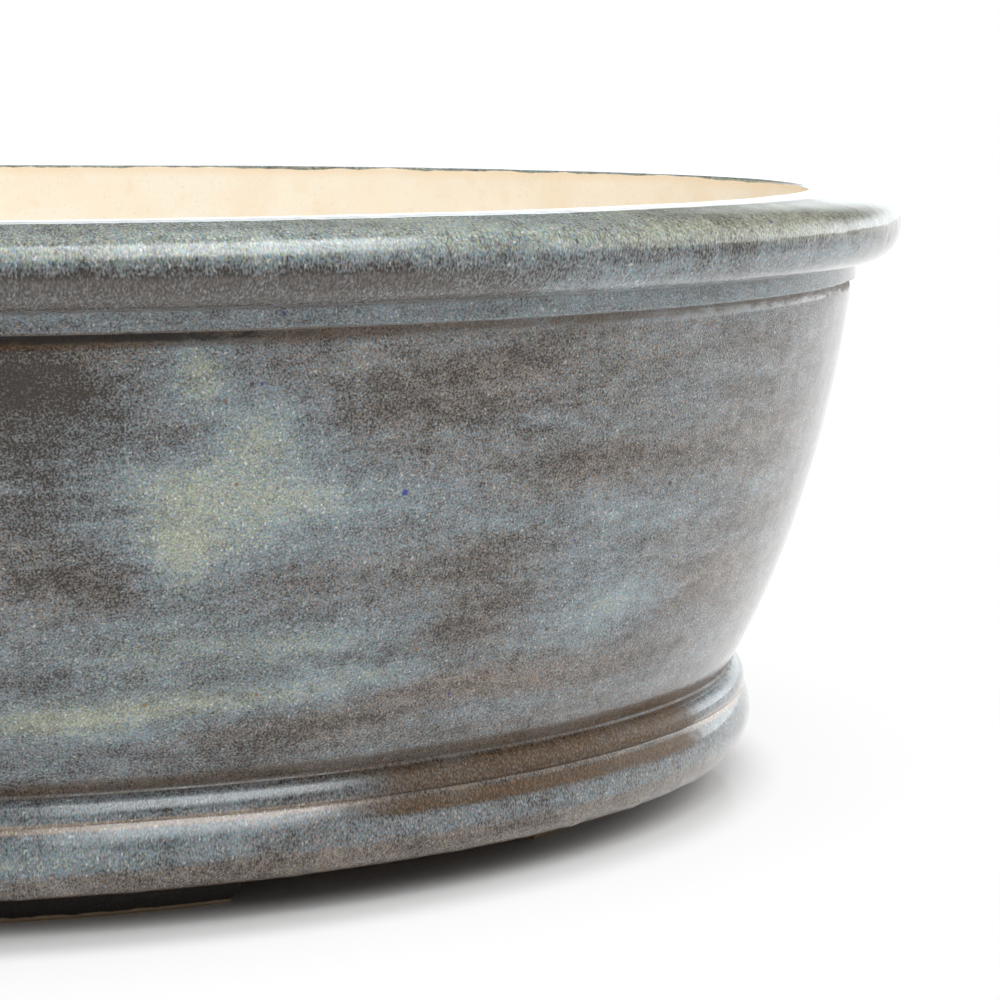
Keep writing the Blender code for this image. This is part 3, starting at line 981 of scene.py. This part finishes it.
# Partly painted shade: the teal line where the lip turns under
TEAL_PALER_AND_SHADE = -0.29
TEAL_LESS = 0.9
TEAL_GAP = ((22, 33), (75, 65))
RIGHT_TURNS = ((31, 40), (75, 65))
RIGHT_LOWER_LESS = 1.4
RIGHT_CALM_LESS = 0.75
END_TURNS = ((36, 50), (120, 90))
END_UPPER_PALER = -0.03
END_MIDDLE = (0.006, 0.005, -0.05)
END_GREEN = (0.0056, 0.0048, 0.8)
DARK_SPOT = ((-27.5, 0.0864), (2.4, 0.0011))
DARK_SPOT_PALER = -0.4
THIN_SPOT = ((-26.5, 0.0852), (1.8, 0.0007))
THIN_SPOT_THINNER = 0.7
INSIDE_SETBACK = 0.0132
NOT_INSIDE = -0.005
GLAZE_END = (0.00045, 0.00065)
GLAZE_END_WAVER = 0.0012
WAVERS_TO_METRE = 130
HALO = (0.0026, 0.0005)
HALO_SHARE = 0.7


def lip_coat(angle, height):
    fall = LIP_TOP - height
    turn = (angle + 90) % 360
    right = stretch_of(turn, *RIGHT_TURNS)
    end = stretch_of(turn, *END_TURNS)
    upper = step(fall, *LIP_UPPER)
    lower = step(fall, *LIP_LOWER)
    teal_and_shade = np.exp(-(((fall - TEAL_FALL) / TEAL_REACH) ** 2))
    teal_and_shade *= 1 - TEAL_LESS * stretch_of(turn, *TEAL_GAP)
    pale = LIP_PALE + (UPPER_PALER + END_UPPER_PALER * end) * upper + TEAL_PALER_AND_SHADE * teal_and_shade
    pale += LOWER_PALER_AND_SHADE * lower * (1 - RIGHT_LOWER_LESS * right) + end * step(fall, *END_MIDDLE)
    pale += DARK_SPOT_PALER * soft_spot(angle, height, *DARK_SPOT)
    green = LIP_GREEN + UPPER_GREENER * upper + end * step(fall, *END_GREEN)
    thin_and_shade = step(fall, *LIP_BARE_AND_SHADE_LINE) + THIN_SPOT_THINNER * soft_spot(angle, height, *THIN_SPOT)
    return pale, green, thin_and_shade, LOWER_CALMER * lower * (1 - RIGHT_CALM_LESS * right)


inner_ease = (LIP_WIDTH - LIP_EASE, LIP_TOP), (LIP_WIDTH, LIP_TOP - LIP_EASE)
lip_outline = [(LIP_WIDTH, LIP_BOTTOM), inner_ease[1]]
lip_outline += quarter(*inner_ease, 2, steps=6)[::-1]
lip_outline += [(LIP_WIDTH - LIP_FLAT, LIP_TOP), LIP_FLAT_END]
lip_outline += bow(*LIP_SHOULDER, steps=26)
lip_outline += quarter((LIP_UNDER, LIP_BOTTOM), (0, LIP_WIDEST), LIP_FULLNESS, steps=24)[-2::-1]
chance = random.Random(5)
hollows = []
for number in range(RIPPLES):
    spot = (spaced(*RIPPLE_TURNS, number, RIPPLES), chance.uniform(*RIPPLE_HEIGHTS))
    size = (chance.uniform(*RIPPLE_WIDTHS), chance.uniform(*RIPPLE_REACHES))
    hollows.append((spot, size, -chance.uniform(*RIPPLE_DEPTHS)))
for number in range(EDGE_DIPS):
    spot = (spaced(*DIP_TURNS, number, EDGE_DIPS), chance.uniform(*DIP_HEIGHTS))
    size = (chance.uniform(*DIP_WIDTHS), DIP_REACH)
    hollows.append((spot, size, -chance.uniform(*DIP_DEPTHS)))
lip_mesh = oval_piece("lip_roll", lip_outline, lip_coat, spacing=0.0008, bumps=hollows)
levels = []
for vertex in lip_mesh.vertices:
    x, y, z = vertex.co
    out = math.hypot(x / (HALF_LENGTH - INSIDE_SETBACK), y / (HALF_WIDTH - INSIDE_SETBACK))
    levels.append(LIP_TOP - z if out < 1 else NOT_INSIDE)
keep_values(lip_mesh, "glaze_edge", levels)

lip_glaze, lip_tree, lip_shader, lip_coating = glazed(
    "Glaze on the lip", streaks=0.28, dullness=0.6, drawn_out=1.8, relief_strength=0.28
)
clay = clay_in(lip_tree)
waver = grain(place_of(lip_tree), WAVERS_TO_METRE, detail=3, roughness=0.6)
edge_level = kept_values(lip_tree, "glaze_edge")["Fac"]
edge_level = plus(edge_level, centred(waver, GLAZE_END_WAVER))
no_glaze = ramp(edge_level, *GLAZE_END)
halo = times(ramp(edge_level, *HALO), HALO_SHARE)
haloed = blended(halo, clay["Color"], PEACH)
rough_both = {0: no_glaze, 2: lip_coating["Roughness"], 3: clay["Roughness"]}
feed(lip_shader, {
    "Base Color": blended(no_glaze, lip_coating["Color"], haloed),
    "Roughness": add(lip_tree, "Mix", rough_both).outputs[0],
    "Coat Weight": ramp(no_glaze, 0, 1, lip_coating["Coat"], 0.0),
})
finish_piece("lip", lip_mesh, "lip_roll", lip_glaze)

# The four feet
# A low ring of clay under the floor, cut into four feet by slanted notches on the diagonals. They
# are glazed like the pot, but their glaze is coloured nearly black, partly its own dark brown and
# partly painted shade from under the pot, and their bottoms are wiped so that they show a thin tan
# line of clay.

FOOT_HEIGHT = 0.0055
FOOT_WIDTH = 0.014
FOOT_RISE = 0.0058
FOOT_HALF_LENGTH = 0.1092
FOOT_HALF_WIDTH = 0.0877
FOOT_HALF_SPREAD = math.radians(30)
FOOT_END_RUN = 0.0055
FOOT_EASE = 0.0006
FOOT_STEPS = 90
FOOT_SPACING = 0.0009
FOOT_UNEVEN = 0.0012
FOOT_SWELL = 0.02
FOOT_PLACES = (("right", 0), ("back", 90), ("left", 180), ("front", 270))
# Nearly black: the glaze's dark brown with painted shade under the pot
FOOT_COAT_AND_SHADE = (-0.1, 0.0, 1.45)
TAN_CLAY = (0.42, 0.3, 0.19, 1)
WIPED_LINE = (0.0007, 0.0005)
WIPED_WAVER = 0.0006
WIPES_TO_METRE = 400

foot_glaze, foot_tree, foot_shader, foot_coating = glazed("Glaze on the feet", streaks=0.0, dullness=1.0)
foot_place = place_of(foot_tree)
wipes = grain(foot_place, WIPES_TO_METRE, detail=2)
wiped = add(foot_tree, "SeparateXYZ", {0: foot_place}).outputs["Z"]
wiped = plus(wiped, centred(wipes, WIPED_WAVER))
wiped = ramp(wiped, *WIPED_LINE)
feed(foot_shader, {"Base Color": blended(wiped, foot_coating["Color"], TAN_CLAY)})

section = [(0, FOOT_RISE), (0, FOOT_HEIGHT)]
section += quarter((FOOT_EASE, 0), (0, FOOT_EASE), 2, steps=4)[::-1]
section += quarter((FOOT_WIDTH - FOOT_EASE, 0), (FOOT_WIDTH, FOOT_EASE), 2, steps=4)
section += [(FOOT_WIDTH, FOOT_HEIGHT), (FOOT_WIDTH, FOOT_RISE)]
section_rows = dense(section, FOOT_SPACING)[:-1]

for side, middle in FOOT_PLACES:
    foot = bmesh.new()
    rows = []
    for number in range(FOOT_STEPS + 1):
        along = 2 * number / FOOT_STEPS - 1
        row = []
        for inset, height in section_rows:
            run_out = FOOT_END_RUN * min(height, FOOT_HEIGHT) / FOOT_HEIGHT / HALF_WIDTH
            turn = math.radians(middle) + along * (FOOT_HALF_SPREAD + run_out)
            a, b = FOOT_HALF_LENGTH - inset, FOOT_HALF_WIDTH - inset
            reach = a * b / math.hypot(b * math.cos(turn), a * math.sin(turn))
            point = Vector((reach * math.cos(turn), reach * math.sin(turn), height))
            if 0 < height < FOOT_HEIGHT:
                point.xy *= 1 - FOOT_UNEVEN * (1 + noise.noise(point / FOOT_SWELL))
            row.append(foot.verts.new(point))
        rows.append(row)
    for near, far in zip(rows, rows[1:]):
        skin(foot, near, far)
    foot.faces.new(rows[0])
    foot.faces.new(rows[-1])
    bmesh.ops.recalc_face_normals(foot, faces=foot.faces)
    foot_mesh = mesh_from(foot, "foot_" + side + "_body")
    keep_values(foot_mesh, "glaze_coat", np.tile(FOOT_COAT_AND_SHADE, (len(foot_mesh.vertices), 1)))
    smooth(foot_mesh)
    finish_piece("pot_foot_" + side, foot_mesh, "foot_" + side, foot_glaze)

# The table and the white room
# The pot stands on a white lacquered board with a faint gloss, in a white room. The board keeps the
# pot's shadow, and from the belt outwards it fades into the plain white of the room, first quickly
# and then slowly, by distances that are shares of the rim's oval.

TABLE_REACH = 4.0
TABLE_STEPS = 128
QUICK_FADE = (0.832, 0.895, 0, 0.8)
SLOW_FADE = (0.895, 1.25, 0, 0.2)
WHITE = (1, 1, 1, 1)
TABLE_WHITE = (0.88, 0.88, 0.88, 1)
BOARD_VALUES = {
    "Base Color": TABLE_WHITE,
    "Specular IOR Level": 0.0,
    "Coat Weight": 0.22,
    "Coat Roughness": 0.08,
}
ROOM_GLOW = 0.25


def seen(tree):
    """1 where the camera, a gloss or a clear thing shows the surface, 0 where it only lights."""
    path = add(tree, "LightPath").outputs
    shown = sums("MAXIMUM", path["Is Camera Ray"], path["Is Glossy Ray"])
    return sums("MAXIMUM", shown, path["Is Transmission Ray"])


table_bm = bmesh.new()
bmesh.ops.create_circle(table_bm, cap_ends=True, segments=TABLE_STEPS, radius=TABLE_REACH)
table_mesh = mesh_from(table_bm, "table_top")
table = show("table", table_mesh)
board, board_tree, board_shader = new_material("White board", BOARD_VALUES)
rim_shares = {"Vector": place_of(board_tree), "Scale": (1 / HALF_LENGTH, 1 / HALF_WIDTH, 0)}
from_middle = add(board_tree, "Mapping", rim_shares).outputs[0]
away = add(board_tree, "VectorMath", {0: from_middle}, operation="LENGTH").outputs["Value"]
fade = plus(ramp(away, *QUICK_FADE), ramp(away, *SLOW_FADE))
fade = times(fade, seen(board_tree))
white_glow = add(board_tree, "Emission", {"Color": WHITE, "Strength": 1.0})
both = {0: fade, 1: board_shader.outputs[0], 2: white_glow.outputs[0]}
mixed = add(board_tree, "MixShader", both)
feed(board_tree.nodes["Material Output"], {"Surface": mixed.outputs[0]})
table_mesh.materials.append(board)

room = bpy.data.worlds.new("White room")
room.use_nodes = True
bpy.context.scene.world = room
room_tree = room.node_tree
glow = room_tree.nodes["Background"]
glow.inputs["Color"].default_value = WHITE
feed(glow, {"Strength": ramp(seen(room_tree), 0, 1, ROOM_GLOW, 1.0)})

# The dim side of the room
# A round shell stands for the ceiling and the walls, and is seen only in the glaze's reflections. It
# is dim in front and above, which keeps the front of the glaze deep. Its pale parts are a window,
# the backdrop behind the pot, and the side at the pot's right end.

DIM_REACH = 1.8
DIM_STEPS = 60
DIM_ROWS = 12
DIM_LOWEST = math.radians(2)
DIM_HIGHEST = math.pi / 2 - 0.02
DIM_TINT = (0.92, 0.97, 1, 1)
DIM_GLOW = 0.16
WINDOW_GLOW = 6.8
BACKDROP_GLOW = 1.2
SIDE_GLOW = 1.5
WINDOW_FACING = (0.45, -0.47, 0.76)
WINDOW_RIGHT = (0.722, 0.692, 0.0)
WINDOW_UP = (-0.526, 0.549, 0.65)
WINDOW_SLANT = 0.38
WINDOW_FRONT = (0.0, 0.2)
WINDOW_ACROSS = ((-0.46, -0.18), (0.28, 0.13))
WINDOW_UPWARD = ((-0.6, -0.18), (0.7, 0.42))
BACKDROP_UP = (0.42, 0.16)
BACKDROP_BACK = (-0.45, 0.25)
SIDE_RIGHT = (0.55, 0.9)
SIDE_UP = (0.85, 0.45)

shell = bmesh.new()
shell_rows = []
for number in range(DIM_STEPS):
    turn = 2 * math.pi * number / DIM_STEPS
    row = []
    for level in range(DIM_ROWS):
        rise = DIM_LOWEST + (DIM_HIGHEST - DIM_LOWEST) * level / (DIM_ROWS - 1)
        flat = DIM_REACH * math.cos(rise)
        place = (flat * math.cos(turn), flat * math.sin(turn), DIM_REACH * math.sin(rise))
        row.append(shell.verts.new(place))
    shell_rows.append(row)
for near, far in zip(shell_rows, shell_rows[1:] + shell_rows[:1]):
    for low in range(DIM_ROWS - 1):
        shell.faces.new((near[low], far[low], far[low + 1], near[low + 1]))
shell.faces.new([row[-1] for row in shell_rows])
dim_mesh = mesh_from(shell, "dim_card")
dim_card = show("dim_card", dim_mesh)
dim_material = bpy.data.materials.new("Dim card")
dim_material.use_nodes = True
dim_tree = dim_material.node_tree
dim_tree.nodes.remove(dim_tree.nodes["Principled BSDF"])
facing = add(dim_tree, "VectorMath", {0: place_of(dim_tree)}, operation="NORMALIZE").outputs["Vector"]
heading = add(dim_tree, "SeparateXYZ", {0: facing}).outputs


def towards(direction):
    lined_up = add(dim_tree, "VectorMath", {0: facing, 1: direction}, operation="DOT_PRODUCT")
    return lined_up.outputs["Value"]


upward = towards(WINDOW_UP)
sideways = sums("SUBTRACT", towards(WINDOW_RIGHT), times(upward, WINDOW_SLANT))
window = ramp(towards(WINDOW_FACING), *WINDOW_FRONT)
for value, edges in ((sideways, WINDOW_ACROSS), (upward, WINDOW_UPWARD)):
    for edge in edges:
        window = times(window, ramp(value, *edge))
upper_end = ramp(heading["Z"], *BACKDROP_UP)
backdrop = times(upper_end, ramp(heading["Y"], *BACKDROP_BACK))
right_end = ramp(heading["X"], *SIDE_RIGHT)
right_side = times(right_end, ramp(heading["Z"], *SIDE_UP))
strength = plus(times(window, WINDOW_GLOW), DIM_GLOW)
strength = plus(times(backdrop, BACKDROP_GLOW), strength)
strength = plus(times(right_side, SIDE_GLOW), strength)
dim_glow = add(dim_tree, "Emission", {"Color": DIM_TINT, "Strength": strength})
feed(dim_tree.nodes["Material Output"], {"Surface": dim_glow.outputs[0]})
dim_material.cycles.emission_sampling = "NONE"
dim_mesh.materials.append(dim_material)
for way in ("camera", "diffuse", "shadow", "transmission"):
    setattr(dim_card, "visible_" + way, False)

# The lamps
# A big soft box hangs over the front of the pot, and another stands at its right end. Two weak ones
# stand before it and to its left, and the room's own glow fills the rest. None of them is mirrored
# in the glaze: what the gloss shows is the shell above.

SOFT_BOXES = (
    ("top", (0.05, -0.14, 1.05), (1.0, 0.6), 6.9),
    ("right", (0.9, 0.25, 0.55), (0.7, 0.7), 8.5),
    ("front", (0.1, -0.7, 0.8), (0.6, 0.6), 2.2),
    ("left", (-0.5, -0.4, 0.85), (0.6, 0.6), 2.2),
)
AIM = Vector((0.03, -0.06, 0.05))

for side, box_place, box_size, power in SOFT_BOXES:
    soft_box = bpy.data.lights.new("soft_box_" + side, "AREA")
    soft_box.shape = "RECTANGLE"
    soft_box.size, soft_box.size_y = box_size
    soft_box.energy = power
    holder = show("soft_box_" + side, soft_box)
    holder.location = box_place
    holder.rotation_euler = (AIM - Vector(box_place)).to_track_quat("-Z", "Y").to_euler()
    holder.visible_camera = False
    holder.visible_glossy = False

# The camera
# It stands in front of the pot and looks along it from slightly above, close in on its right half.
# The lens is given in widths of the picture.

VIEW_PLACE = (0.0519, -0.44811, 0.10676)
VIEW_DOWN = 0.1454
VIEW_TURN = 0.0793
VIEW_LENS = 2.91109
VIEW_NEAREST = 0.01
VIEW_FARTHEST = 20
PICTURE_WIDTH = 36.0

eye = bpy.data.cameras.new("camera")
eye.sensor_width = PICTURE_WIDTH
eye.lens = VIEW_LENS * PICTURE_WIDTH
eye.clip_start = VIEW_NEAREST
eye.clip_end = VIEW_FARTHEST
viewer = show("camera", eye)
viewer.location = VIEW_PLACE
viewer.rotation_euler = (math.pi / 2 - VIEW_DOWN, 0, -VIEW_TURN)
bpy.context.scene.camera = viewer
bpy.context.scene.view_settings.view_transform = "Standard"
